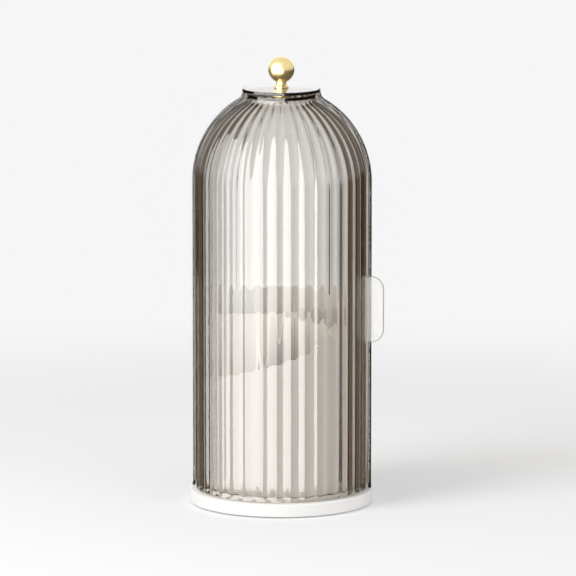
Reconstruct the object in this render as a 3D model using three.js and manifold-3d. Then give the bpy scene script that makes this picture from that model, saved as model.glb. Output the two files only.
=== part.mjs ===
// Rotating brush organizer: a fluted smoke-grey tower on a white round base.
// The rear half shell is fixed; the front half shell turns behind it about the tower's axis;
// the white cup inside turns on a ball bearing.
// Millimetres, +Z up, front towards -Y. The origin is the centre of the underside of the pad that it stands on.
// An angle is measured round the axis from the front (-Y) towards the right (+X), in degrees.

import * as THREE from "three";
import { mergeVertices } from "three/addons/utils/BufferGeometryUtils.js";
import Module from "manifold-3d";

const wasm = await Module();
wasm.setup();

// Clearances and cuts
const SEAT_GAP = 0.3;
const OVERRUN = 1;

// Base
const PAD_INSET = 11;
const PAD_THICKNESS = 0.8;
const BASE_LIP = 0.9;
const BASE_WALL = 2.2;
const BASE_TOP = 10;
const BASE_EDGE_ROUND = 1.2;
const DECK_THICKNESS = 2.2;
const COVER_THICKNESS = 2;
const PAN_ROOM = 3;
const PAN_FLOOR_THICKNESS = 2;
const RAIL_WIDTH = 1.6;
const RAIL_HEIGHT = 3;
const RAIL_RUN_GAP = 0.4;

// Screws that hold the cover to the base
const COVER_SCREW_COUNT = 4;
const COVER_SCREW_PLACE_SHARE = 0.38;
const COVER_SCREW_START_ANGLE = 45;
const COVER_SCREW_RADIUS = 1.4;
const COVER_SCREW_HEAD_RADIUS = 3;
const COVER_SCREW_HEAD_HEIGHT = 0.9;
const COVER_BOSS_RADIUS = 4;

// Spindle that the turntable turns on
const SPINDLE_RADIUS = 4;
const SPINDLE_FLANGE_RADIUS = 9;
const SPINDLE_FLANGE_THICKNESS = 1.5;
const SPINDLE_SCREW_RADIUS = 1.5;
const SPINDLE_SCREW_LENGTH = 6;
const SPINDLE_SCREW_HEAD_RADIUS = 3.2;
const SPINDLE_SCREW_HEAD_HEIGHT = 1.6;
const SPINDLE_WASHER_RADIUS = 6.4;
const SPINDLE_WASHER_THICKNESS = 0.8;

// Ball bearing under the turntable
const BALL_COUNT = 12;
const BALL_RADIUS = 1.6;
const BALL_CIRCLE = 33;
const RACE_WIDTH = 8;
const RACE_THICKNESS = 1.2;
const RACE_GROOVE_DEPTH = 0.8;
const CAGE_WIDTH = 7;
const CAGE_GAP = 0.4;

// Turntable and cup
const TURNTABLE_THICKNESS = 1.8;
const LUG_COUNT = 3;
const LUG_RADIUS = 2.6;
const LUG_CIRCLE = 30;
const LUG_HEIGHT = 1.6;
const CUP_ROOM = 6;
const CUP_WALL = 2;
const CUP_FLOOR_THICKNESS = 2;
const CUP_RIM_LOW = 88;
const CUP_RIM_HIGH = 147;
const CUP_RIM_START_ANGLE = -92;
const CUP_RIM_RAMP_ANGLE = 167;
const CUP_RIM_STEADY_SHARE = 0.55;
const CUP_RIM_STEP_ANGLE = 0.6;

// Divider that stands in the cup
const FIN_COUNT = 5;
const FIN_START_ANGLE = -90;
const FIN_THICKNESS = 1.8;
const FIN_TOP = 135;
const FIN_BELOW_RIM = 2;
const HUB_ROOM = 1.1;
const HUB_WALL = 2;

// Shells: the outside of the rear shell, from which every other surface of both shells is set in
const SHELL_RADIUS = 64.1;
const SHELL_WALL = 2.2;
const SHELL_RUN_GAP = 1.3;
const SHOULDER_HEIGHT = 231;
const DOME_SWELL = 2.9;
const NECK_RADIUS = 27.8;
const NECK_FLARE = 4.3;
const NECK_RISE = 6.47;
const FLUTE_COUNT = 36;
const FLUTE_DEPTH = 1.1;
const FLUTE_PHASE_ANGLE = 6.5;
const FLUTE_FOOT = 8.4;
const FLUTE_RUN_OUT = 4.5;
const FLUTE_RUN_OUT_SHARE = 0.7;
const FLUTE_MIDDLE_SHARE = 0.5;

// Sectors of the two shells
const REAR_START_ANGLE = 84.8;
const REAR_SWEEP_ANGLE = 180;
const DOOR_START_ANGLE = -98.5;
const DOOR_SWEEP_ANGLE = 186.5;

// Snap tabs of the rear shell and their pockets in the base
const TAB_COUNT = 5;
const TAB_WIDTH = 10;
const TAB_THICKNESS = 1.4;
const TAB_BARB = 1;
const TAB_BARB_HEIGHT = 1.2;

// Top disc, door roof and the pivot between them
const TOP_DISC_THICKNESS = 2.1;
const TOP_DISC_SETBACK = 0.2;
const ROOF_GAP = 2;
const ROOF_THICKNESS = 2.3;
const BUSH_RADIUS = 4;
const BUSH_FLANGE_RADIUS = 7.3;
const PIVOT_WASHER_RADIUS = 8;
const PIVOT_WASHER_THICKNESS = 1;
const KNOB_SCREW_RADIUS = 2;
const KNOB_SCREW_HEAD_RADIUS = 3.6;
const KNOB_SCREW_HEAD_HEIGHT = 2.6;
const KNOB_SCREW_GRIP = 7.5;

// Knob
const KNOB_BALL_RADIUS = 9.2;
const KNOB_NECK_RADIUS = 3.6;
const KNOB_NECK_HEIGHT = 2.13;
const KNOB_FOOT_RADIUS = 4.9;
const KNOB_FOOT_HEIGHT = 1;
const KNOB_FLARE_HEIGHT = 1.2;

// Handle tab on the door
const HANDLE_FLUTE = 8;
const HANDLE_STANDOUT = 12.9;
const HANDLE_BOTTOM = 116.4;
const HANDLE_HEIGHT = 47.6;
const HANDLE_THICKNESS = 2.4;
const HANDLE_CORNER = 9.5;
const HANDLE_FOOT_WIDTH = 5.2;
const HANDLE_FOOT_THICKNESS = 1.1;

// Facets
const STEPS_PER_FLUTE = 3;
const LEAST_COLUMN_SHARE = 0.1;
const DOME_STEPS = 6;
const NECK_STEPS = 3;
const LARGE_STEPS = 60;
const MEDIUM_STEPS = 28;
const SMALL_STEPS = 16;
const BALL_STEPS = 8;
const ARC_STEPS = 4;
const KNOB_STEPS = 10;

// Heights of the base and the bearing, from the bottom up
const coverBottom = PAD_THICKNESS + SEAT_GAP;
const coverTop = coverBottom + COVER_THICKNESS;
const deckBottom = BASE_TOP - DECK_THICKNESS;
const flangeBottom = coverTop + SEAT_GAP;
const flangeTop = flangeBottom + SPINDLE_FLANGE_THICKNESS;
const panBottom = flangeTop + SEAT_GAP;
const panTop = panBottom + PAN_FLOOR_THICKNESS;
const lowerRaceBottom = panTop + SEAT_GAP;
const lowerRaceTop = lowerRaceBottom + RACE_THICKNESS;
const ballHeight = lowerRaceTop - RACE_GROOVE_DEPTH + SEAT_GAP + BALL_RADIUS;
const upperRaceBottom = 2 * ballHeight - lowerRaceTop;
const upperRaceTop = upperRaceBottom + RACE_THICKNESS;
const turntableBottom = upperRaceTop + SEAT_GAP;
const turntableTop = turntableBottom + TURNTABLE_THICKNESS;
const cupFloorBottom = turntableTop + SEAT_GAP;
const cupFloorTop = cupFloorBottom + CUP_FLOOR_THICKNESS;
const dividerBottom = cupFloorTop + SEAT_GAP;
const shellBottom = BASE_TOP + SEAT_GAP;

// Radii and angles of the shells, and what stands inside them
const fluteAngle = 360 / FLUTE_COUNT;
const handleAngle = FLUTE_PHASE_ANGLE + (HANDLE_FLUTE - FLUTE_MIDDLE_SHARE) * fluteAngle;
const doorInset = SHELL_WALL + SHELL_RUN_GAP;
const doorRadius = SHELL_RADIUS - doorInset;
const railOuter = doorRadius - SHELL_WALL - RAIL_RUN_GAP;
const cupRadius = doorRadius - SHELL_WALL - CUP_ROOM;
const cupInner = cupRadius - CUP_WALL;
const hubInner = SPINDLE_WASHER_RADIUS + HUB_ROOM;
const hubRadius = hubInner + HUB_WALL;
const baseRadius = SHELL_RADIUS + BASE_LIP;
const baseInner = baseRadius - BASE_WALL;
const panRadius = BALL_CIRCLE + RACE_WIDTH / 2 + PAN_ROOM;
const panOuter = panRadius + BASE_WALL;
const coverScrewCircle = panOuter + (baseInner - panOuter) * COVER_SCREW_PLACE_SHARE;

// Dome: its arc ends where the neck's flare begins
const domeRadius = SHELL_RADIUS + DOME_SWELL;
const domeCentre = -DOME_SWELL;
const domeEnd = Math.acos((NECK_RADIUS + NECK_FLARE - domeCentre) / domeRadius);

// Heights of the neck and the pivot, from the top of the dome's arc up and down
const neckTop = SHOULDER_HEIGHT + domeRadius * Math.sin(domeEnd) + NECK_RISE;
const discBottom = neckTop + SEAT_GAP;
const discTop = discBottom + TOP_DISC_THICKNESS;
const knobBottom = discTop + SEAT_GAP;
const roofTop = discBottom - ROOF_GAP;
const roofBottom = roofTop - ROOF_THICKNESS;
const bushBottom = roofBottom - SEAT_GAP;
const pivotWasherTop = bushBottom - SEAT_GAP;
const pivotWasherBottom = pivotWasherTop - PIVOT_WASHER_THICKNESS;

const white = { color: 0xf6f5f3, roughness: 0.35, metalness: 0 };
const smoke = {
  color: 0x8f857a,
  roughness: 0.08,
  metalness: 0,
  transparent: true,
  opacity: 0.45,
};
const milky = { color: 0xf3f1ec, roughness: 0.25, metalness: 0 };
const gold = { color: 0xf0d784, roughness: 0.08, metalness: 1 };
const steel = { color: 0xb9bbbd, roughness: 0.3, metalness: 1 };
const pale = { color: 0xe4e2dc, roughness: 0.5, metalness: 0 };
const foam = { color: 0x4a4743, roughness: 0.9, metalness: 0 };

const tower = new THREE.Group();

// Shared helpers

function radians(degrees) {
  return THREE.MathUtils.degToRad(degrees);
}

// A geometry as a solid that can be cut and joined.
function solid(geometry) {
  const bare = geometry.clone();
  bare.deleteAttribute("normal");
  bare.deleteAttribute("uv");
  const merged = mergeVertices(bare, 1e-4);
  return new wasm.Manifold(
    new wasm.Mesh({
      numProp: 3,
      vertProperties: merged.attributes.position.array,
      triVerts: new Uint32Array(merged.index.array),
    }),
  );
}

// A solid as a geometry that a mesh can show.
function geometryOf(made) {
  const mesh = made.getMesh();
  const geometry = new THREE.BufferGeometry();
  geometry.setAttribute(
    "position",
    new THREE.BufferAttribute(mesh.vertProperties, mesh.numProp),
  );
  geometry.setIndex(new THREE.BufferAttribute(mesh.triVerts, 1));
  geometry.computeVertexNormals();
  return geometry;
}

function join(first, ...others) {
  return geometryOf(others.reduce((a, b) => a.add(solid(b)), solid(first)));
}

function cut(first, ...others) {
  return geometryOf(others.reduce((a, b) => a.subtract(solid(b)), solid(first)));
}

function add(name, geometry, finish, parent = tower) {
  const mesh = new THREE.Mesh(geometry, new THREE.MeshStandardMaterial(finish));
  mesh.name = name;
  parent.add(mesh);
  return mesh;
}

// A full turn of a closed outline of [radius, height] points, listed upwards on its outer side.
function turn(points, steps) {
  const outline = points.map(([radius, height]) => new THREE.Vector2(radius, height));
  outline.push(outline[0].clone());
  return new THREE.LatheGeometry(outline, steps).rotateX(Math.PI / 2);
}

// An upright cylinder from one height to another.
function drum(radius, bottom, top, steps = SMALL_STEPS) {
  const height = top - bottom;
  return new THREE.CylinderGeometry(radius, radius, height, steps)
    .rotateX(Math.PI / 2)
    .translate(0, 0, bottom + height / 2);
}

// A drum moved out from the axis, at an angle round it.
function drumAt(distance, angle, radius, bottom, top, steps = SMALL_STEPS) {
  return drum(radius, bottom, top, steps)
    .translate(0, -distance, 0)
    .rotateZ(radians(angle));
}

// A block that spans two radii and two heights, square to the radius at an angle.
function blockAt(angle, width, inner, outer, bottom, top) {
  return new THREE.BoxGeometry(width, outer - inner, top - bottom)
    .translate(0, -(inner + outer) / 2, (bottom + top) / 2)
    .rotateZ(radians(angle));
}

// A plate that stands in the half plane at an angle, from its outline of [radius, height] points.
function plateAt(angle, outline, thickness) {
  return new THREE.ExtrudeGeometry(new THREE.Shape(outline), {
    depth: thickness,
    bevelEnabled: false,
    curveSegments: ARC_STEPS,
  })
    .translate(0, 0, -thickness / 2)
    .rotateX(Math.PI / 2)
    .rotateZ(radians(angle - 90));
}

// A solid swept round the axis through a list of angles. outlineAt gives its closed outline of
// [radius, height] points at an angle, listed upwards on the outer side. A sweep that doesn't close
// on itself gets a flat face at each end.
function sweep(angles, outlineAt, closes) {
  const rings = angles.map((angle) => outlineAt(angle));
  const count = rings[0].length;
  const positions = rings.flatMap((ring, i) =>
    ring.flatMap(([radius, height]) => [
      radius * Math.sin(radians(angles[i])),
      -radius * Math.cos(radians(angles[i])),
      height,
    ]),
  );
  const faces = [];
  const spans = closes ? angles.length : angles.length - 1;
  for (let i = 0; i < spans; i++) {
    const here = i * count;
    const next = ((i + 1) % angles.length) * count;
    for (let j = 0; j < count; j++) {
      const k = (j + 1) % count;
      faces.push(here + j, next + j, next + k);
      faces.push(here + j, next + k, here + k);
    }
  }
  if (!closes) {
    const flat = (ring) =>
      THREE.ShapeUtils.triangulateShape(
        ring.map(([radius, height]) => new THREE.Vector2(radius, height)),
        [],
      );
    const last = (angles.length - 1) * count;
    flat(rings[0]).forEach(([a, b, c]) => faces.push(a, b, c));
    flat(rings[angles.length - 1]).forEach(([a, b, c]) =>
      faces.push(last + a, last + c, last + b),
    );
  }
  const geometry = new THREE.BufferGeometry();
  geometry.setAttribute("position", new THREE.Float32BufferAttribute(positions, 3));
  geometry.setIndex(faces);
  return geometry;
}

// Angles of a sector: its two ends, and the shells' columns of facets between them.
function columns(start, sweepAngle) {
  const pitch = fluteAngle / STEPS_PER_FLUTE;
  const first = Math.ceil((start - FLUTE_PHASE_ANGLE) / pitch + LEAST_COLUMN_SHARE);
  const last = Math.floor((start + sweepAngle - FLUTE_PHASE_ANGLE) / pitch - LEAST_COLUMN_SHARE);
  const angles = [start];
  for (let i = first; i <= last; i++) {
    angles.push(FLUTE_PHASE_ANGLE + i * pitch);
  }
  angles.push(start + sweepAngle);
  return angles;
}

// Share of the flute's depth at an angle: none on a ridge, all of it halfway between two.
function hollowShare(angle) {
  const place = (angle - FLUTE_PHASE_ANGLE) / fluteAngle;
  const share = place - Math.floor(place);
  return 4 * share * (1 - share);
}

// Shell outline: one side of a shell's wall, from its foot up over the shoulder and the dome to the neck,
// set in by inset from the outside of the rear shell. depth is how much deeper the flutes lie at this angle.
function shellSide(inset, top, depth) {
  const points = [[SHELL_RADIUS - inset, shellBottom]];
  if (depth !== null) {
    points.push([SHELL_RADIUS - inset, shellBottom + FLUTE_FOOT]);
    points.push([SHELL_RADIUS - inset - depth * FLUTE_RUN_OUT_SHARE, shellBottom + FLUTE_FOOT + FLUTE_RUN_OUT / 2]);
    points.push([SHELL_RADIUS - inset - depth, shellBottom + FLUTE_FOOT + FLUTE_RUN_OUT]);
  }
  const flute = depth ?? 0;
  for (let i = 0; i <= DOME_STEPS; i++) {
    const angle = (domeEnd * i) / DOME_STEPS;
    const nearness = (domeCentre + domeRadius * Math.cos(angle)) / SHELL_RADIUS;
    const reach = domeRadius - inset - flute * nearness;
    points.push([domeCentre + reach * Math.cos(angle), SHOULDER_HEIGHT + reach * Math.sin(angle)]);
  }
  const [endRadius, endHeight] = points[points.length - 1];
  const neck = NECK_RADIUS - inset;
  const bend = new THREE.QuadraticBezierCurve(
    new THREE.Vector2(endRadius, endHeight),
    new THREE.Vector2(neck, endHeight + (endRadius - neck) / Math.tan(domeEnd)),
    new THREE.Vector2(neck, top),
  );
  for (const point of bend.getPoints(NECK_STEPS).slice(1)) {
    points.push([point.x, point.y]);
  }
  return points;
}

function shell(startAngle, sweepAngle, inset, outerTop, innerTop) {
  return sweep(
    columns(startAngle, sweepAngle),
    (angle) => [
      ...shellSide(inset, outerTop, FLUTE_DEPTH * hollowShare(angle)),
      ...shellSide(inset + SHELL_WALL, innerTop, null).reverse(),
    ],
    false,
  );
}

// Base

function tabAngles() {
  return Array.from(
    { length: TAB_COUNT },
    (_, i) => REAR_START_ANGLE + (REAR_SWEEP_ANGLE * (i + 0.5)) / TAB_COUNT,
  );
}

function coverScrewAngles() {
  return Array.from(
    { length: COVER_SCREW_COUNT },
    (_, i) => COVER_SCREW_START_ANGLE + (360 * i) / COVER_SCREW_COUNT,
  );
}

const tabOuter = SHELL_RADIUS - (SHELL_WALL - TAB_THICKNESS) / 2 - SEAT_GAP / 2;
const tabInner = tabOuter - TAB_THICKNESS;
const tabBottom = deckBottom - SEAT_GAP - TAB_BARB_HEIGHT;

function makeBase() {
  const round = [];
  for (let i = 0; i <= ARC_STEPS; i++) {
    const angle = ((Math.PI / 2) * i) / ARC_STEPS;
    round.push([
      baseRadius - BASE_EDGE_ROUND * (1 - Math.cos(angle)),
      BASE_TOP - BASE_EDGE_ROUND * (1 - Math.sin(angle)),
    ]);
  }
  const body = turn(
    [
      [SPINDLE_RADIUS + SEAT_GAP, panBottom],
      [panOuter, panBottom],
      [panOuter, deckBottom],
      [baseInner, deckBottom],
      [baseInner, coverBottom],
      [baseRadius, coverBottom],
      ...round,
      [railOuter, BASE_TOP],
      [railOuter, BASE_TOP + RAIL_HEIGHT],
      [railOuter - RAIL_WIDTH, BASE_TOP + RAIL_HEIGHT],
      [railOuter - RAIL_WIDTH, BASE_TOP],
      [panRadius, BASE_TOP],
      [panRadius, panTop],
      [SPINDLE_RADIUS + SEAT_GAP, panTop],
    ],
    LARGE_STEPS,
  );
  const bossBottom = coverTop + SEAT_GAP;
  const bossTop = deckBottom + DECK_THICKNESS / 2;
  const bosses = coverScrewAngles().map((angle) =>
    drumAt(coverScrewCircle, angle, COVER_BOSS_RADIUS, bossBottom, bossTop),
  );
  const pilots = coverScrewAngles().map((angle) =>
    drumAt(coverScrewCircle, angle, COVER_SCREW_RADIUS + SEAT_GAP, bossBottom - OVERRUN, deckBottom),
  );
  const pockets = tabAngles().map((angle) =>
    blockAt(
      angle,
      TAB_WIDTH + 2 * SEAT_GAP,
      tabInner - SEAT_GAP,
      tabOuter + SEAT_GAP,
      tabBottom - SEAT_GAP,
      BASE_TOP + OVERRUN,
    ),
  );
  add("base_body", cut(join(body, ...bosses), ...pilots, ...pockets), white);
}

function makeCover() {
  const screwHeight = COVER_SCREW_HEAD_HEIGHT + SEAT_GAP;
  const holes = coverScrewAngles().flatMap((angle) => [
    drumAt(
      coverScrewCircle,
      angle,
      COVER_SCREW_HEAD_RADIUS + SEAT_GAP,
      coverBottom - OVERRUN,
      coverBottom + screwHeight,
    ),
    drumAt(
      coverScrewCircle,
      angle,
      COVER_SCREW_RADIUS + SEAT_GAP,
      coverBottom - OVERRUN,
      coverTop + OVERRUN,
    ),
  ]);
  const plate = drum(baseInner - SEAT_GAP, coverBottom, coverTop, LARGE_STEPS);
  add("base_cover", cut(plate, ...holes), white);
  add("anti_slip_pad", drum(baseRadius - PAD_INSET, 0, PAD_THICKNESS, LARGE_STEPS), foam);
  coverScrewAngles().forEach((angle, i) => {
    const headTop = coverBottom + COVER_SCREW_HEAD_HEIGHT;
    const screw = turn(
      [
        [0, coverBottom],
        [COVER_SCREW_HEAD_RADIUS, coverBottom],
        [COVER_SCREW_HEAD_RADIUS, headTop],
        [COVER_SCREW_RADIUS, headTop],
        [COVER_SCREW_RADIUS, deckBottom - SEAT_GAP],
        [0, deckBottom - SEAT_GAP],
      ],
      SMALL_STEPS,
    );
    const mesh = add(`base_screw_${i + 1}`, screw, steel);
    mesh.position.set(
      coverScrewCircle * Math.sin(radians(angle)),
      -coverScrewCircle * Math.cos(radians(angle)),
      0,
    );
  });
}

// Bearing and spindle

function makeSpindle() {
  const holeRadius = SPINDLE_SCREW_RADIUS + SEAT_GAP;
  const holeBottom = turntableTop - SPINDLE_SCREW_LENGTH;
  const pin = turn(
    [
      [0, flangeBottom],
      [SPINDLE_FLANGE_RADIUS, flangeBottom],
      [SPINDLE_FLANGE_RADIUS, flangeTop],
      [SPINDLE_RADIUS, flangeTop],
      [SPINDLE_RADIUS, turntableTop],
      [holeRadius, turntableTop],
      [holeRadius, holeBottom],
      [0, holeBottom],
    ],
    MEDIUM_STEPS,
  );
  add("spindle", pin, steel);
  const washerBottom = turntableTop + SEAT_GAP;
  const washerTop = washerBottom + SPINDLE_WASHER_THICKNESS;
  const washer = turn(
    [
      [holeRadius, washerBottom],
      [SPINDLE_WASHER_RADIUS, washerBottom],
      [SPINDLE_WASHER_RADIUS, washerTop],
      [holeRadius, washerTop],
    ],
    MEDIUM_STEPS,
  );
  add("spindle_washer", washer, steel);
  const headBottom = washerTop + SEAT_GAP;
  const headTop = headBottom + SPINDLE_SCREW_HEAD_HEIGHT;
  const screw = turn(
    [
      [0, holeBottom + SEAT_GAP],
      [SPINDLE_SCREW_RADIUS, holeBottom + SEAT_GAP],
      [SPINDLE_SCREW_RADIUS, headBottom],
      [SPINDLE_SCREW_HEAD_RADIUS, headBottom],
      [SPINDLE_SCREW_HEAD_RADIUS, headTop],
      [0, headTop],
    ],
    SMALL_STEPS,
  );
  add("spindle_screw", screw, steel);
}

// A race ring with its groove. grooveHeight is the height of the ball's centre; the groove opens
// towards it, from the face of the ring that lies nearest.
function raceRing(bottom, top) {
  const inner = BALL_CIRCLE - RACE_WIDTH / 2;
  const outer = BALL_CIRCLE + RACE_WIDTH / 2;
  const above = bottom < ballHeight;
  const face = above ? top : bottom;
  const radius = BALL_RADIUS + SEAT_GAP;
  const half = Math.sqrt(radius ** 2 - (ballHeight - face) ** 2);
  const reach = Math.atan2(half, Math.abs(ballHeight - face));
  const groove = [];
  for (let i = 0; i <= ARC_STEPS; i++) {
    const angle = reach - (2 * reach * i) / ARC_STEPS;
    const away = radius * Math.cos(angle);
    groove.push([BALL_CIRCLE + radius * Math.sin(angle), above ? ballHeight - away : ballHeight + away]);
  }
  const outline = above
    ? [[inner, bottom], [outer, bottom], [outer, top], ...groove, [inner, top]]
    : [[inner, bottom], ...groove.reverse(), [outer, bottom], [outer, top], [inner, top]];
  return turn(outline, MEDIUM_STEPS);
}

function makeBearing() {
  const cageHalf = ballHeight - lowerRaceTop - CAGE_GAP;
  add("lower_race", raceRing(lowerRaceBottom, lowerRaceTop), steel);
  add("upper_race", raceRing(upperRaceBottom, upperRaceTop), steel);
  const ring = turn(
    [
      [BALL_CIRCLE - CAGE_WIDTH / 2, ballHeight - cageHalf],
      [BALL_CIRCLE + CAGE_WIDTH / 2, ballHeight - cageHalf],
      [BALL_CIRCLE + CAGE_WIDTH / 2, ballHeight + cageHalf],
      [BALL_CIRCLE - CAGE_WIDTH / 2, ballHeight + cageHalf],
    ],
    MEDIUM_STEPS,
  );
  const ballAngles = Array.from({ length: BALL_COUNT }, (_, i) => (360 * i) / BALL_COUNT);
  const holes = ballAngles.map((angle) =>
    drumAt(
      BALL_CIRCLE,
      angle,
      BALL_RADIUS + SEAT_GAP,
      ballHeight - cageHalf - OVERRUN,
      ballHeight + cageHalf + OVERRUN,
      BALL_STEPS,
    ),
  );
  add("bearing_cage", cut(ring, ...holes), pale);
  ballAngles.forEach((angle, i) => {
    const ball = new THREE.SphereGeometry(BALL_RADIUS, BALL_STEPS, BALL_STEPS - 2);
    const mesh = add(`bearing_ball_${String(i + 1).padStart(2, "0")}`, ball.rotateX(Math.PI / 2), steel);
    mesh.position.set(
      BALL_CIRCLE * Math.sin(radians(angle)),
      -BALL_CIRCLE * Math.cos(radians(angle)),
      ballHeight,
    );
  });
}

// Turntable, cup and divider

function lugAngles() {
  return Array.from({ length: LUG_COUNT }, (_, i) => (360 * (i + 0.5)) / LUG_COUNT);
}

function makeTurntable() {
  const disc = turn(
    [
      [SPINDLE_RADIUS + SEAT_GAP, turntableBottom],
      [cupInner - SEAT_GAP, turntableBottom],
      [cupInner - SEAT_GAP, turntableTop],
      [SPINDLE_RADIUS + SEAT_GAP, turntableTop],
    ],
    LARGE_STEPS,
  );
  const lugs = lugAngles().map((angle) =>
    drumAt(LUG_CIRCLE, angle, LUG_RADIUS, turntableBottom, turntableTop + LUG_HEIGHT),
  );
  add("turntable_disc", join(disc, ...lugs), white);
}

function rimHeight(angle) {
  const share = Math.min((angle - CUP_RIM_START_ANGLE) / CUP_RIM_RAMP_ANGLE, 1);
  const climb = CUP_RIM_STEADY_SHARE * share + (1 - CUP_RIM_STEADY_SHARE) * share ** 4;
  return CUP_RIM_LOW + (CUP_RIM_HIGH - CUP_RIM_LOW) * climb;
}

function makeCup() {
  const angles = [];
  for (let i = 0; i < LARGE_STEPS; i++) {
    angles.push(CUP_RIM_START_ANGLE + (360 * i) / LARGE_STEPS);
  }
  angles.push(CUP_RIM_START_ANGLE + 360 - CUP_RIM_STEP_ANGLE);
  const cup = sweep(
    angles,
    (angle) => [
      [hubInner, cupFloorBottom],
      [cupInner, cupFloorBottom],
      [cupInner, turntableBottom],
      [cupRadius, turntableBottom],
      [cupRadius, rimHeight(angle)],
      [cupInner, rimHeight(angle)],
      [cupInner, cupFloorTop],
      [hubInner, cupFloorTop],
    ],
    true,
  );
  const holes = lugAngles().map((angle) =>
    drumAt(LUG_CIRCLE, angle, LUG_RADIUS + SEAT_GAP, cupFloorBottom - OVERRUN, cupFloorTop + OVERRUN),
  );
  add("inner_cup", cut(cup, ...holes), white);
}

function makeDivider() {
  const roof = FIN_TOP - HUB_WALL;
  const hub = turn(
    [
      [hubInner, dividerBottom],
      [hubRadius, dividerBottom],
      [hubRadius, FIN_TOP],
      [0, FIN_TOP],
      [0, roof],
      [hubInner, roof],
    ],
    MEDIUM_STEPS,
  );
  const inner = hubRadius - HUB_WALL / 2;
  const outer = cupInner - SEAT_GAP;
  const fins = Array.from({ length: FIN_COUNT }, (_, i) => {
    const angle = FIN_START_ANGLE + (360 * i) / FIN_COUNT;
    const wallTop = i === 0 ? FIN_TOP : Math.min(FIN_TOP, rimHeight(angle) - FIN_BELOW_RIM);
    const outline = [
      new THREE.Vector2(inner, dividerBottom),
      new THREE.Vector2(outer, dividerBottom),
      new THREE.Vector2(outer, wallTop),
      new THREE.Vector2(inner, FIN_TOP),
    ];
    return plateAt(angle, outline, FIN_THICKNESS);
  });
  add("cup_divider", join(hub, ...fins), white);
}

// Shells, top disc and pivot

function makeRearShell() {
  const half = shell(REAR_START_ANGLE, REAR_SWEEP_ANGLE, 0, neckTop, neckTop);
  const tabs = tabAngles().flatMap((angle) => [
    blockAt(angle, TAB_WIDTH, tabInner, tabOuter, tabBottom, shellBottom + FLUTE_FOOT / 2),
    blockAt(angle, TAB_WIDTH, tabInner - TAB_BARB, tabOuter, tabBottom, tabBottom + TAB_BARB_HEIGHT),
  ]);
  add("rear_shell", join(half, ...tabs), smoke);
}

function makeDoor() {
  const half = shell(DOOR_START_ANGLE, DOOR_SWEEP_ANGLE, doorInset, roofTop, roofBottom);
  const roof = drum(NECK_RADIUS - doorInset, roofBottom, roofTop, MEDIUM_STEPS);
  const hole = drum(BUSH_RADIUS + SEAT_GAP, roofBottom - OVERRUN, roofTop + OVERRUN, MEDIUM_STEPS);
  add("front_door", cut(join(half, roof), hole), smoke);
}

function makeTopDisc() {
  const outer = NECK_RADIUS - TOP_DISC_SETBACK;
  const disc = turn(
    [
      [KNOB_SCREW_RADIUS + SEAT_GAP, discBottom],
      [outer, discBottom],
      [outer, discTop],
      [KNOB_SCREW_RADIUS + SEAT_GAP, discTop],
    ],
    LARGE_STEPS,
  );
  add("top_disc", disc, smoke);
}

function makePivot() {
  const bore = KNOB_SCREW_RADIUS + SEAT_GAP;
  const flangeLow = roofTop + SEAT_GAP;
  const bush = turn(
    [
      [bore, bushBottom],
      [BUSH_RADIUS, bushBottom],
      [BUSH_RADIUS, flangeLow],
      [BUSH_FLANGE_RADIUS, flangeLow],
      [BUSH_FLANGE_RADIUS, neckTop],
      [bore, neckTop],
    ],
    MEDIUM_STEPS,
  );
  add("pivot_bush", bush, gold);
  const washer = turn(
    [
      [bore, pivotWasherBottom],
      [PIVOT_WASHER_RADIUS, pivotWasherBottom],
      [PIVOT_WASHER_RADIUS, pivotWasherTop],
      [bore, pivotWasherTop],
    ],
    MEDIUM_STEPS,
  );
  add("pivot_washer", washer, gold);
  const headTop = pivotWasherBottom - SEAT_GAP;
  const headBottom = headTop - KNOB_SCREW_HEAD_HEIGHT;
  const tip = knobBottom + KNOB_SCREW_GRIP;
  const screw = turn(
    [
      [0, headBottom],
      [KNOB_SCREW_HEAD_RADIUS, headBottom],
      [KNOB_SCREW_HEAD_RADIUS, headTop],
      [KNOB_SCREW_RADIUS, headTop],
      [KNOB_SCREW_RADIUS, tip],
      [0, tip],
    ],
    SMALL_STEPS,
  );
  add("knob_screw", screw, gold);
}

function makeKnob() {
  const bore = KNOB_SCREW_RADIUS + SEAT_GAP;
  const boreTop = knobBottom + KNOB_SCREW_GRIP + SEAT_GAP;
  const footTop = knobBottom + KNOB_FOOT_HEIGHT;
  const neckBottom = footTop + KNOB_FLARE_HEIGHT;
  const start = Math.asin(KNOB_NECK_RADIUS / KNOB_BALL_RADIUS);
  const centre = neckBottom + KNOB_NECK_HEIGHT + KNOB_BALL_RADIUS * Math.cos(start);
  const ball = [];
  for (let i = 0; i < KNOB_STEPS; i++) {
    const angle = start + ((Math.PI - start) * i) / KNOB_STEPS;
    ball.push([KNOB_BALL_RADIUS * Math.sin(angle), centre - KNOB_BALL_RADIUS * Math.cos(angle)]);
  }
  const knob = turn(
    [
      [bore, knobBottom],
      [KNOB_FOOT_RADIUS, knobBottom],
      [KNOB_FOOT_RADIUS, footTop],
      [KNOB_NECK_RADIUS, neckBottom],
      ...ball,
      [0, centre + KNOB_BALL_RADIUS],
      [0, boreTop],
      [bore, boreTop],
    ],
    MEDIUM_STEPS,
  );
  add("lid_knob", knob, gold);
}

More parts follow.
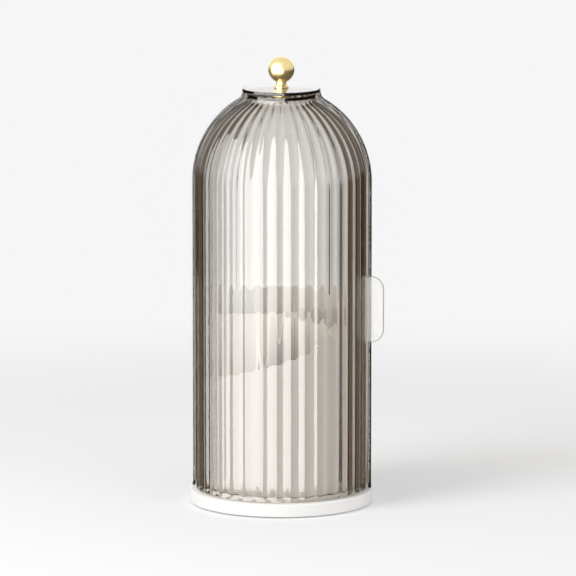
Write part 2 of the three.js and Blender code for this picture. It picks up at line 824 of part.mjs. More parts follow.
// Handle: a D-shaped plate that stands square out of a flute of the door, on a narrow foot.
function makeHandle() {
  const floor = doorRadius - FLUTE_DEPTH + SEAT_GAP;
  const top = HANDLE_BOTTOM + HANDLE_HEIGHT;
  const corner = doorRadius + HANDLE_STANDOUT - HANDLE_CORNER;
  const outline = new THREE.Shape();
  outline.moveTo(floor, HANDLE_BOTTOM);
  outline.lineTo(corner, HANDLE_BOTTOM);
  outline.absarc(corner, HANDLE_BOTTOM + HANDLE_CORNER, HANDLE_CORNER, -Math.PI / 2, 0, false);
  outline.absarc(corner, top - HANDLE_CORNER, HANDLE_CORNER, 0, Math.PI / 2, false);
  outline.lineTo(floor, top);
  outline.closePath();
  const plate = plateAt(handleAngle, outline.getPoints(ARC_STEPS), HANDLE_THICKNESS);
  const footAngle = (HANDLE_FOOT_WIDTH / 2 / doorRadius) * (180 / Math.PI);
  const footFloor = doorRadius - FLUTE_DEPTH * hollowShare(handleAngle + footAngle) + SEAT_GAP;
  const foot = blockAt(
    handleAngle,
    HANDLE_FOOT_WIDTH,
    footFloor,
    footFloor + HANDLE_FOOT_THICKNESS,
    HANDLE_BOTTOM,
    top,
  );
  add("door_handle", join(plate, foot), milky);
}

makeCover();
makeBase();
makeSpindle();
makeBearing();
makeTurntable();
makeCup();
makeDivider();
makeRearShell();
makeDoor();
makeHandle();
makePivot();
makeTopDisc();
makeKnob();

export default tower;
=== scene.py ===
"""Rotating brush organizer: the smooth, finished pieces around its packed model, and the studio."""

import math

import bmesh
import bpy
from bpy.props import FloatProperty, FloatVectorProperty, IntProperty, PointerProperty
from mathutils import Matrix, Vector


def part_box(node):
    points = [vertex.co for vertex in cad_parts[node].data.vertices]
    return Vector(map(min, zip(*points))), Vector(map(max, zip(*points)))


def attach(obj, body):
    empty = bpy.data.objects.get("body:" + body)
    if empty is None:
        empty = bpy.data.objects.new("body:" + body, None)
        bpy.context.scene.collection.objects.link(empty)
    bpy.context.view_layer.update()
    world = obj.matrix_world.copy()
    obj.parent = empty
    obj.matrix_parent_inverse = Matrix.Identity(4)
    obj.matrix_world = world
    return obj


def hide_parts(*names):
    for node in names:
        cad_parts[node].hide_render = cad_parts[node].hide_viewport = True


bl_info = {
    "name": "Rotating brush organizer",
    "version": (1, 0, 0),
    "blender": (4, 5, 0),
    "location": "3D View > Sidebar > Organizer",
    "description": "Builds the fluted tower with its cup, knob and handle, and the studio around it",
    "category": "Object",
}

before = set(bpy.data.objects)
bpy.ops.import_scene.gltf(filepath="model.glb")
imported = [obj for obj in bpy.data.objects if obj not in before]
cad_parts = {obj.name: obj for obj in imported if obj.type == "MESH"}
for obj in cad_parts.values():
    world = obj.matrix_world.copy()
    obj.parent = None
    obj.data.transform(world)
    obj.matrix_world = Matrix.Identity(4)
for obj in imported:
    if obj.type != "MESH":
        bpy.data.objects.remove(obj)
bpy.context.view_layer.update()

MM = 0.001
SEAT = 0.3 * MM  # the gap that the packed model leaves between pieces that touch
FINE_EDGE = 0.3 * MM  # the round that a mould leaves on a plain edge
WELD = 0.002 * MM  # vertices nearer than this are one
CUT_CLEARANCE = 1e-7  # a vertex nearer than this to a cut lies on it
NO_DISTANCE = 1e-9
SHARP = math.radians(33)  # edges that bend more than this stay sharp

# Columns of faces round wide, small and smallest turned pieces
WIDE_STEPS = 180
SMALL_STEPS = 96
SCREW_STEPS = 48
PEG_STEPS = 32


# Sizes and colours


def length(title, words, value):
    """A size in metres that can be changed in the sidebar."""
    return FloatProperty(name=title, description=words, default=value, precision=5, unit="LENGTH")


def turn_by(title, words, degrees):
    """An angle that can be changed in the sidebar."""
    return FloatProperty(name=title, description=words, default=math.radians(degrees), unit="ROTATION")


def count(title, words, value):
    """A number of copies or steps that can be changed in the sidebar."""
    return IntProperty(name=title, description=words, default=value, min=1)


def amount(title, words, value, unit="NONE"):
    """A strength or another plain number that can be changed in the sidebar."""
    return FloatProperty(name=title, description=words, default=value, unit=unit)


def linear(code):
    """An sRGB hex colour as the linear red, green and blue that Blender mixes."""
    shares = [int(code[i : i + 2], 16) / 255 for i in (0, 2, 4)]
    return [s / 12.92 if s <= 0.04045 else ((s + 0.055) / 1.055) ** 2.4 for s in shares]


def paint(title, words, code):
    """A colour that can be changed in the sidebar."""
    return FloatVectorProperty(
        name=title, description=words, default=linear(code), subtype="COLOR", min=0, max=1
    )


def low(node):
    """Height of a node's underside in the packed model."""
    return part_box(node)[0].z


def high(node):
    """Height of a node's top in the packed model."""
    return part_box(node)[1].z


class BaseSizes(bpy.types.PropertyGroup):
    """Sizes of the white base."""

    radius: length("Radius", "Outside of the base", 65 * MM)
    wall: length("Wall", "Thickness of the skirt and the pan's wall", 2.2 * MM)
    foot: length("Foot height", "Lower edge of the skirt", low("base_body"))
    rail_height: length("Rail height", "How far the inner rail stands above the deck", 3 * MM)
    rail_radius: length("Rail radius", "Outside of the rail that guides the door", 58 * MM)
    rail_width: length("Rail width", "Thickness of the rail", 1.6 * MM)
    rim_round: length("Edge round", "Round of the base's upper edge", 1.2 * MM)
    deck: length("Deck thickness", "Thickness of the deck", 2.2 * MM)
    pan_radius: length("Pan radius", "Inside of the pan that holds the bearing", 40 * MM)
    pan_depth: length("Pan depth", "How far the pan's floor lies under the deck", 2.8 * MM)
    pan_floor: length("Pan floor", "Thickness of the pan's floor", 2 * MM)
    bore: length("Bore", "Radius of the hole for the spindle", 4.3 * MM)
    screws: count("Screws", "Number of screws that hold the cover", 4)
    screw_start: turn_by("Screw start", "Angle of the first screw", 45)
    screw_circle: length("Screw circle", "Radius on which the bosses stand", 50.028 * MM)
    screw_hole: length("Screw hole", "Radius of the hole in a boss", 1.7 * MM)
    boss_radius: length("Boss radius", "Outside of a boss", 4 * MM)


class ShellSizes(bpy.types.PropertyGroup):
    """Sizes of the two fluted half shells."""

    radius: length("Radius", "Outside of the rear shell on its ridges", 64.1 * MM)
    wall: length("Wall", "Thickness of a shell", 2.2 * MM)
    door_inset: length("Door inset", "How far the door's outside lies inside the rear shell's", 3.5 * MM)
    shoulder: length("Shoulder height", "Where the dome begins", 231 * MM)
    dome_swell: length("Dome swell", "How much the dome's radius exceeds the shell's", 2.9 * MM)
    neck: length("Neck radius", "Outside of the rear shell's neck", 27.8 * MM)
    flare: length("Neck flare", "How far the dome ends outside the neck", 4.3 * MM)
    roof: length("Roof thickness", "Thickness of the door's roof", 2.3 * MM)
    roof_bore: length("Roof bore", "Radius of the hole that the bush goes through", 4.3 * MM)
    flutes: count("Flutes", "Number of flutes round a full turn", 36)
    flute_depth: length("Flute depth", "Depth of a flute between two ridges", 1.5 * MM)
    flute_phase: turn_by("Flute phase", "Angle of a ridge from the front", 6.5)
    band: length("Foot band", "Height of the smooth band under the flutes", 1 * MM)
    run_out: length("Run-out", "Height over which a flute reaches its depth", 3 * MM)
    flute_steps: count("Steps across a flute", "Columns of faces across a flute", 12)
    run_steps: count("Run-out steps", "Rows of faces up the run-out", 6)
    dome_steps: count("Dome steps", "Rows of faces up the dome", 30)
    neck_steps: count("Neck steps", "Rows of faces in the bend from dome to neck", 10)
    end_steps: count("End steps", "Columns of faces round an upright end", 5)
    rear_start: turn_by("Rear start", "Where the rear shell starts, from the front to the right", 84.8)
    rear_sweep: turn_by("Rear sweep", "How far the rear shell goes round", 180)
    door_start: turn_by("Door start", "Where the door starts, from the front to the right", -98.5)
    door_sweep: turn_by("Door sweep", "How far the door goes round", 186.5)


class TabSizes(bpy.types.PropertyGroup):
    """Sizes of the rear shell's snap tabs and their pockets."""

    tabs: count("Tabs", "Number of snap tabs under the rear shell", 5)
    width: length("Width", "Width of a tab", 10 * MM)
    thickness: length("Thickness", "Thickness of a tab", 1.4 * MM)
    barb: length("Barb", "How far a barb reaches under the deck", 1 * MM)
    barb_height: length("Barb height", "Height of a barb", 1.2 * MM)


class CupSizes(bpy.types.PropertyGroup):
    """Sizes of the turning cup and the divider in it."""

    radius: length("Radius", "Outside of the cup", 52.4 * MM)
    wall: length("Wall", "Thickness of the cup's wall", 2 * MM)
    floor: length("Floor height", "Underside of the cup's floor", 14.5 * MM)
    floor_thickness: length("Floor thickness", "Thickness of the cup's floor", 2 * MM)
    floor_round: length("Floor round", "Round where the floor meets the wall", 1.2 * MM)
    skirt: length("Skirt height", "Lower edge of the cup's wall", low("inner_cup"))
    bore: length("Bore", "Radius of the hole in the floor", 7.5 * MM)
    rim_low: length("Low rim", "Height of the rim at its lowest", 88 * MM)
    rim_high: length("High rim", "Height of the rim at its highest", high("inner_cup"))
    rim_start: turn_by("Rim start", "Angle at which the rim starts to climb", -92)
    rim_ramp: turn_by("Rim ramp", "Angle over which the rim climbs", 167)
    rim_step: turn_by("Rim step", "Angle over which the rim drops back", 0.6)
    lip: length("Lip", "Round of the rim's edges", 0.5 * MM)
    lugs: count("Lugs", "Number of lugs that drive the cup", 3)
    lug_circle: length("Lug circle", "Radius on which the lugs stand", 30 * MM)
    lug_hole: length("Lug hole", "Radius of the hole for a lug", 2.9 * MM)
    fins: count("Fins", "Number of fins of the divider", 5)
    fin_start: turn_by("Fin start", "Angle of the first fin", -90)
    fin_thickness: length("Fin thickness", "Thickness of a fin", 1.8 * MM)
    fin_drop: length("Fin drop", "How far a fin lies under the rim at the wall", 2 * MM)
    hub_radius: length("Hub radius", "Outside of the divider's hub", 9.5 * MM)
    hub_wall: length("Hub wall", "Thickness of the hub", 2 * MM)
    hub_round: length("Hub round", "Round of the hub's upper edge", 0.8 * MM)


class TopSizes(bpy.types.PropertyGroup):
    """Sizes of the top disc, the pivot and the knob."""

    disc_radius: length("Disc radius", "Outside of the top disc", 27.6 * MM)
    disc_edge: length("Disc edge", "Round of the disc's edges", 0.45 * MM)
    bore: length("Bore", "Radius of the holes that the screw goes through", 2.3 * MM)
    bush_radius: length("Bush radius", "Outside of the bush", 4 * MM)
    bush_flange: length("Bush flange", "Radius of the bush's flange", 7.3 * MM)
    washer_radius: length("Washer radius", "Outside of the washer", 8 * MM)
    brass_edge: length("Brass edge", "Round of the bush's and the washer's edges", 0.2 * MM)
    screw_radius: length("Screw radius", "Radius of the knob's screw", 2 * MM)
    screw_head: length("Screw head", "Radius of the screw's head", 3.6 * MM)
    screw_head_height: length("Head height", "Height of the screw's head", 2.6 * MM)
    screw_head_round: length("Head round", "Round of the screw's head", 0.6 * MM)
    ball_radius: length("Ball radius", "Radius of the knob's ball", 9.2 * MM)
    neck_radius: length("Knob neck", "Radius of the knob's neck", 3.6 * MM)
    foot_radius: length("Knob foot", "Radius of the knob's foot", 4.9 * MM)
    foot_height: length("Foot height", "Height of the knob's foot", 1 * MM)
    foot_flare: length("Foot flare", "Height over which the foot narrows to the neck", 1.2 * MM)
    thread_depth: length("Thread depth", "Depth of the knob's threaded hole", 7.8 * MM)
    ball_steps: count("Ball steps", "Rows of faces up the ball", 40)


class HandleSizes(bpy.types.PropertyGroup):
    """Sizes of the door's handle tab."""

    angle: turn_by("Angle", "Where the tab stands, from the front to the right", 81.5)
    floor: length("Floor", "Radius at which the tab stands on the door", 59.8 * MM)
    reach: length("Reach", "Radius of the tab's outer edge", 73.5 * MM)
    thickness: length("Thickness", "Thickness of the tab", 2.4 * MM)
    corner: length("Corner", "Radius of the tab's outer corners", 9.5 * MM)
    corner_steps: count("Corner steps", "Faces round an outer corner", 14)
    edge: length("Edge round", "Round of the tab's edges", 0.9 * MM)
    foot_floor: length("Foot floor", "Radius at which the tab's foot lies on the door", 60.066 * MM)
    foot_width: length("Foot width", "Width of the tab's foot", 5.2 * MM)
    foot_thickness: length("Foot thickness", "Thickness of the tab's foot", 1.1 * MM)


class Finishes(bpy.types.PropertyGroup):
    """Colours of the pieces."""

    white: paint("White", "Base, cup and divider", "F7F6F4")
    smoke: paint("Smoke", "What the clear grey plastic lets through", "A18C60")
    smoke_density: amount("Smoke density", "How strongly the grey plastic darkens, per metre", 135)
    milky: paint("Milky", "Handle tab", "EEEDEB")
    gold: paint("Gold", "Knob and its screw", "F2D27A")
    steel: paint("Steel", "Bearing and screws", "C2C3C5")
    nylon: paint("Nylon", "Cage of the bearing", "E4E2DC")
    foam: paint("Foam", "Pad under the base", "4A4743")


class StudioSettings(bpy.types.PropertyGroup):
    """Camera, light and backdrop."""

    backdrop: paint("Backdrop", "Colour of the floor and the background", "F6F6F6")
    lens: amount("Lens", "Focal length in millimetres", 378.1, "CAMERA")
    tilt: turn_by("Tilt", "How far the camera looks down", 9.49)
    side: paint("Side shade", "Colour of the room to the left and right of the paper", "5E5245")
    room: amount("Room light", "Strength of the even light from all round", 0.55)
    inside: amount("Light inside", "Strength of the room as it falls into the tower", 1.2)
    fill: amount("Fill light", "Power of the lamp at the right", 4.5, "POWER")
    key: amount("Key light", "Power of the lamp at the left", 12.5, "POWER")
    gloss: amount("Gloss", "Strength of the softbox as it shows in gloss", 8.5)
    glare: amount("Glare", "Strength of the softbox as it shows on inner walls", 2)
    echo: amount("Echo", "Strength of the dark sides as the inside of a wall mirrors them", 1.5)
    spread: amount("Spread", "Strength of the softbox as it falls on the cup", 0.9)


# Materials


def opaque(color):
    """A colour with full alpha."""
    return (*color, 1)


WHITE = opaque(linear("FFFFFF"))


def add_node(tree, kind, settings=None):
    """Adds a node. A setting that is a node, or an output of one, is joined to the input of that
    name or number. Any other goes to the node's property or input."""
    node = tree.nodes.new("ShaderNode" + kind)
    for key, value in (settings or {}).items():
        if isinstance(value, bpy.types.Node):
            value = value.outputs[0]
        if isinstance(value, bpy.types.NodeSocket):
            tree.links.new(value, node.inputs[key])
        elif isinstance(key, str) and hasattr(node, key):
            setattr(node, key, value)
        else:
            node.inputs[key].default_value = value
    return node


def new_material(name):
    """An empty procedural material and its node tree."""
    material = bpy.data.materials.new(name)
    material.use_nodes = True
    material.node_tree.nodes.clear()
    return material, material.node_tree


def drifting(tree, place, scale, detail, smooth, rough):
    """A fine pattern, and a roughness that follows it between two limits."""
    grain = add_node(tree, "TexNoise", {"Scale": scale, "Detail": detail, "Vector": place})
    return grain, add_node(tree, "MapRange", {"Value": grain, "To Min": smooth, "To Max": rough})


def let_light_through(tree, surface, code):
    """A clear surface whose shadow is a plain tint, because light doesn't bend on its way to a lamp."""
    path = add_node(tree, "LightPath").outputs
    shadow = add_node(tree, "BsdfTransparent", {"Color": opaque(linear(code))})
    return add_node(tree, "MixShader", {0: path["Is Shadow Ray"], 1: surface, 2: shadow})


def moulded_abs(tree, place, finishes):
    """Injection-moulded white ABS: satin, with the tool's faint spark texture, so highlights are soft."""
    # Spark texture is about 0.4 mm from grain to grain; the broad drift in gloss is about 25 mm.
    grain = add_node(tree, "TexNoise", {"Scale": 2500, "Detail": 2, "Vector": place})
    _, satin = drifting(tree, place, 40, 1, 0.5, 0.6)
    relief = {"Strength": 0.08, "Distance": 0.02 * MM, "Height": grain}
    look = {
        "Base Color": opaque(finishes.white),
        "Specular IOR Level": 0.2,
        "Roughness": satin,
        "Normal": add_node(tree, "Bump", relief),
    }
    return {"Surface": add_node(tree, "BsdfPrincipled", look)}


def smoke_san(tree, place, finishes):
    """Clear SAN tinted warm grey: polished by the mould, so it mirrors the light, and it darkens
    where the eye looks through more of it. Its faint flow waves bend the highlights."""
    # Flow waves are about 20 mm long and far shallower than the flutes.
    waves = add_node(tree, "TexNoise", {"Scale": 50, "Detail": 1, "Vector": place})
    relief = {"Strength": 0.25, "Distance": 0.03 * MM, "Height": waves}
    look = {
        "Base Color": WHITE,
        "Roughness": 0.02,
        "IOR": 1.52,
        "Transmission Weight": 1,
        "Normal": add_node(tree, "Bump", relief),
    }
    clear = add_node(tree, "BsdfPrincipled", look)
    tint = {"Color": opaque(finishes.smoke), "Density": finishes.smoke_density}
    return {
        "Surface": let_light_through(tree, clear, "EFECE8"),
        "Volume": add_node(tree, "VolumeAbsorption", tint),
    }


def milky_acrylic(tree, place, finishes):
    """Frosted milky acrylic: light comes through it, but no shape does, and its edges read darker."""
    # Frosting is etched at about 0.3 mm, too fine to see, so it only varies the roughness.
    _, frosted = drifting(tree, place, 3300, 1, 0.18, 0.28)
    look = {
        "Base Color": opaque(finishes.milky),
        "IOR": 1.49,
        "Transmission Weight": 0.85,
        "Specular IOR Level": 0.2,
        "Roughness": frosted,
    }
    acrylic = add_node(tree, "BsdfPrincipled", look)
    return {"Surface": let_light_through(tree, acrylic, "BCBCBC")}


def metal(tree, place, color, grain_scale, smooth, rough):
    """A bare or plated metal whose gloss varies a little with its grain."""
    _, gloss = drifting(tree, place, grain_scale, 2, smooth, rough)
    look = {"Base Color": opaque(color), "Metallic": 1, "Roughness": gloss}
    return {"Surface": add_node(tree, "BsdfPrincipled", look)}


def gold_plating(tree, place, finishes):
    """Gold plating over polished brass: a mirror with a warm tint, whose gloss drifts over 2.5 mm."""
    return metal(tree, place, finishes.gold, 400, 0.02, 0.05)


def zinc_plated_steel(tree, place, finishes):
    """Zinc-plated steel, tumbled: greyish and half dull, with marks of about 1 mm."""
    return metal(tree, place, finishes.steel, 900, 0.22, 0.36)


def matt(tree, place, color, grain_scale, smooth, rough, height):
    """A matt soft plastic with a grain that shows as relief."""
    grain, gloss = drifting(tree, place, grain_scale, 3, smooth, rough)
    relief = add_node(tree, "Bump", {"Strength": 0.4, "Distance": height, "Height": grain})
    look = {"Base Color": opaque(color), "Roughness": gloss, "Normal": relief}
    return {"Surface": add_node(tree, "BsdfPrincipled", look)}


def natural_nylon(tree, place, finishes):
    """Natural nylon straight from the mould: cream and waxy, with a grain of about 1.7 mm."""
    return matt(tree, place, finishes.nylon, 600, 0.42, 0.55, 0.02 * MM)


def eva_foam(tree, place, finishes):
    """Closed-cell EVA foam with cells of about 0.5 mm: dull and dark."""
    return matt(tree, place, finishes.foam, 2000, 0.8, 0.95, 0.1 * MM)


LOOKS = {
    "white_plastic": ("white_moulded_abs", moulded_abs),
    "smoke_plastic": ("smoke_clear_san", smoke_san),
    "milky_plastic": ("milky_frosted_acrylic", milky_acrylic),
    "gold_plating": ("gold_plating", gold_plating),
    "plain_steel": ("zinc_plated_steel", zinc_plated_steel),
    "cage_plastic": ("natural_nylon", natural_nylon),
    "foam_pad": ("eva_foam", eva_foam),
}


def finish(slot_name):
    """The material for a slot, made when it is first asked for."""
    name, look = LOOKS[slot_name]
    material = bpy.data.materials.get(name)
    if not material:
        material, tree = new_material(name)
        place = add_node(tree, "TexCoord").outputs["Object"]
        add_node(tree, "OutputMaterial", look(tree, place, bpy.context.scene.organizer_finishes))
    return material


# Shared steps


def span(node):
    """Heights of a node's underside and its top."""
    return low(node), high(node)


def ring(inner, outer, bottom, top):
    """Corners of the outline of a ring, a disc or a plain plate."""
    return [(inner, bottom), (outer, bottom), (outer, top), (inner, top)]


def around(number, start=0.0, sweep=math.tau, offset=0.0):
    """Angles of a number of places spread over a sweep."""
    return [start + sweep * (i + offset) / number for i in range(number)]


def all_of(bm):
    """Everything in a mesh."""
    return bm.verts[:] + bm.edges[:] + bm.faces[:]


def rounded(bm, geom, size, steps, affect="VERTICES"):
    """Rounds corners of an outline, or edges."""
    bmesh.ops.bevel(
        bm,
        geom=geom,
        offset=size,
        offset_type="OFFSET",
        segments=steps,
        profile=0.5,
        affect=affect,
        material=-1,
    )


def outline(bm, corners, rounds=None):
    """Draws a closed outline of (radius, height) corners in the front half plane. Rounds gives the
    corners, by number, that are rounded, with the size of the round and its steps."""
    verts = [bm.verts.new((0, -radius, height)) for radius, height in corners]
    bm.faces.new(verts)
    for number, (size, steps) in (rounds or {}).items():
        rounded(bm, [verts[number]], size, steps)


def turn_outline(bm, steps):
    """Turns the outline a full circle round the tower's axis."""
    bmesh.ops.delete(bm, geom=bm.faces[:], context="FACES_ONLY")
    on_axis = [e for e in bm.edges if all(v.co.xy.length < NO_DISTANCE for v in e.verts)]
    bmesh.ops.delete(bm, geom=on_axis, context="EDGES")
    bmesh.ops.spin(
        bm,
        geom=bm.verts[:] + bm.edges[:],
        cent=(0, 0, 0),
        axis=(0, 0, 1),
        angle=math.tau,
        steps=steps,
        use_merge=True,
    )


def turned(corners, steps, rounds=None):
    """A mesh turned from an outline of (radius, height) corners."""
    bm = bmesh.new()
    outline(bm, corners, rounds)
    turn_outline(bm, steps)
    return bm


def swing(bm, verts, angle):
    """Turns vertices round the tower's axis, from the front to the right."""
    bmesh.ops.rotate(bm, verts=verts, cent=(0, 0, 0), matrix=Matrix.Rotation(angle, 3, "Z"))


def plate(bm, angle, thickness, corners, rounds=None):
    """Adds a plate of an outline's shape that stands along the radius at an angle, such as a fin."""
    known = set(bm.verts)
    outline(bm, corners, rounds)
    face = [f for f in bm.faces if f.verts[0] not in known]
    grown = bmesh.ops.extrude_face_region(bm, geom=face)["geom"]
    moved = [v for v in grown if isinstance(v, bmesh.types.BMVert)]
    bmesh.ops.translate(bm, verts=moved, vec=(thickness, 0, 0))
    added = [v for v in bm.verts if v not in known]
    bmesh.ops.translate(bm, verts=added, vec=(-thickness / 2, 0, 0))
    swing(bm, added, angle)


def block(bm, angle, width, inner, outer, bottom, top):
    """Adds a block that spans two radii and two heights, square to the radius at an angle."""
    place = (
        Matrix.Rotation(angle, 4, "Z")
        @ Matrix.Translation((0, -(inner + outer) / 2, (bottom + top) / 2))
        @ Matrix.Diagonal((width, outer - inner, top - bottom, 1))
    )
    bmesh.ops.create_cube(bm, size=1, matrix=place)


def peg(bm, angle, distance, radius, bottom, top):
    """Adds an upright cylinder at a distance from the tower's axis."""
    bmesh.ops.create_cone(
        bm,
        cap_ends=True,
        segments=PEG_STEPS,
        radius1=radius,
        radius2=radius,
        depth=top - bottom,
        matrix=Matrix.Rotation(angle, 4, "Z") @ Matrix.Translation((0, -distance, (bottom + top) / 2)),
    )


def add_object(bm, name):
    """An object from a mesh, with its place in the mesh."""
    mesh = bpy.data.meshes.new(name)
    bm.to_mesh(mesh)
    bm.free()
    made = bpy.data.objects.new(name, mesh)
    bpy.context.scene.collection.objects.link(made)
    return made


def closed(bm, name):
    """An object from a mesh whose seams and poles are closed and whose faces are turned outwards.
    Stops on a shape that isn't closed."""
    bmesh.ops.remove_doubles(bm, verts=bm.verts[:], dist=WELD)
    bmesh.ops.recalc_face_normals(bm, faces=bm.faces[:])
    open_edges = sum(1 for edge in bm.edges if len(edge.link_faces) != 2)
    if open_edges:
        raise RuntimeError(f"{name} has {open_edges} open edges")
    if bm.calc_volume(signed=True) < 0:
        bmesh.ops.reverse_faces(bm, faces=bm.faces[:])
    return add_object(bm, name)


def carve(piece, bm, operation):
    """Joins a mesh to a piece, or cuts it away."""
    tool = closed(bm, f"{piece.name}_tool")
    step = piece.modifiers.new("carve", "BOOLEAN")
    step.operation = operation
    step.solver = "EXACT"
    step.object = tool
    graph = bpy.context.evaluated_depsgraph_get()
    mesh = bpy.data.meshes.new_from_object(piece.evaluated_get(graph))
    piece.modifiers.clear()
    plain = piece.data
    piece.data = mesh
    mesh.name = piece.name
    bpy.data.meshes.remove(plain)
    bpy.data.meshes.remove(tool.data)  # the tool goes with its mesh
    if not mesh.polygons:
        raise RuntimeError(f"{piece.name} lost its shape")


def place_piece(piece, node, body, slot_name):
    """Smooths a piece, gives it its finish and lets it stand for its node on its body."""
    mesh = piece.data
    mesh.shade_smooth()
    mesh.set_sharp_from_angle(angle=SHARP)
    mesh.materials.clear()
    mesh.materials.append(finish(slot_name))
    shading = piece.modifiers.new("weighted_normals", "WEIGHTED_NORMAL")
    shading.keep_sharp = True
    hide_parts(node)
    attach(piece, body)


def dress(nodes, slot_name):
    """Gives nodes of the packed model, which keep their own shape, their finish."""
    for name in nodes:
        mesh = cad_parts[name].data
        mesh.materials.clear()
        mesh.materials.append(finish(slot_name))


# Pieces


def tab_angles(shells, tabs):
    """Angles of the rear shell's snap tabs."""
    return around(tabs.tabs, shells.rear_start, shells.rear_sweep, 0.5)


def tab_radii(shells, tabs):
    """Inner and outer radius of a snap tab, in the middle of the shell's wall."""
    outer = shells.radius - (shells.wall - tabs.thickness) / 2 - SEAT / 2
    return outer - tabs.thickness, outer


class ORGANIZER_OT_base(bpy.types.Operator):
    """Turns the white base with its rail and pan, and cuts its pockets and screw holes"""

    bl_idname = "organizer.base"
    bl_label = "Base"

    def execute(self, context):
        base = context.scene.organizer_base
        tabs = context.scene.organizer_tabs
        shells = context.scene.organizer_shells
        rail_top = high("base_body")
        deck = rail_top - base.rail_height
        deck_under = deck - base.deck
        skirt = base.radius - base.wall
        rail_inner = base.rail_radius - base.rail_width
        pan_outer = base.pan_radius + base.wall
        pan_top = deck - base.pan_depth
        pan_bottom = pan_top - base.pan_floor
        body = turned(
            [
                (base.bore, pan_bottom),
                (pan_outer, pan_bottom),
                (pan_outer, deck_under),
                (skirt, deck_under),
                (skirt, base.foot),
                (base.radius, base.foot),
                (base.radius, deck),
                (base.rail_radius, deck),
                (base.rail_radius, rail_top),
                (rail_inner, rail_top),
                (rail_inner, deck),
                (base.pan_radius, deck),
                (base.pan_radius, pan_top),
                (base.bore, pan_top),
            ],
            WIDE_STEPS,
            {5: (FINE_EDGE, 2), 6: (base.rim_round, 8), 8: (FINE_EDGE, 3), 9: (FINE_EDGE, 3)},
        )
        piece = closed(body, "base_shell")
        boss_bottom = high("base_cover") + SEAT
        screw_angles = around(base.screws, base.screw_start)
        bosses = bmesh.new()
        for angle in screw_angles:
            peg(bosses, angle, base.screw_circle, base.boss_radius, boss_bottom, deck - base.deck / 2)
        carve(piece, bosses, "UNION")
        holes = bmesh.new()
        for angle in screw_angles:
            peg(holes, angle, base.screw_circle, base.screw_hole, boss_bottom - MM, deck_under)
        inner, outer = tab_radii(shells, tabs)
        pocket_bottom = deck_under - tabs.barb_height - 2 * SEAT
        for angle in tab_angles(shells, tabs):
            width = tabs.width + 2 * SEAT
            block(holes, angle, width, inner - SEAT, outer + SEAT, pocket_bottom, deck + MM)
        carve(piece, holes, "DIFFERENCE")
        place_piece(piece, "base_body", "base", "white_plastic")
        return {"FINISHED"}


NECK_BEND = 0.95  # share of the neck's height that its bend into the dome takes up
END_FLAT = 0.25  # share of an upright end that stays flat


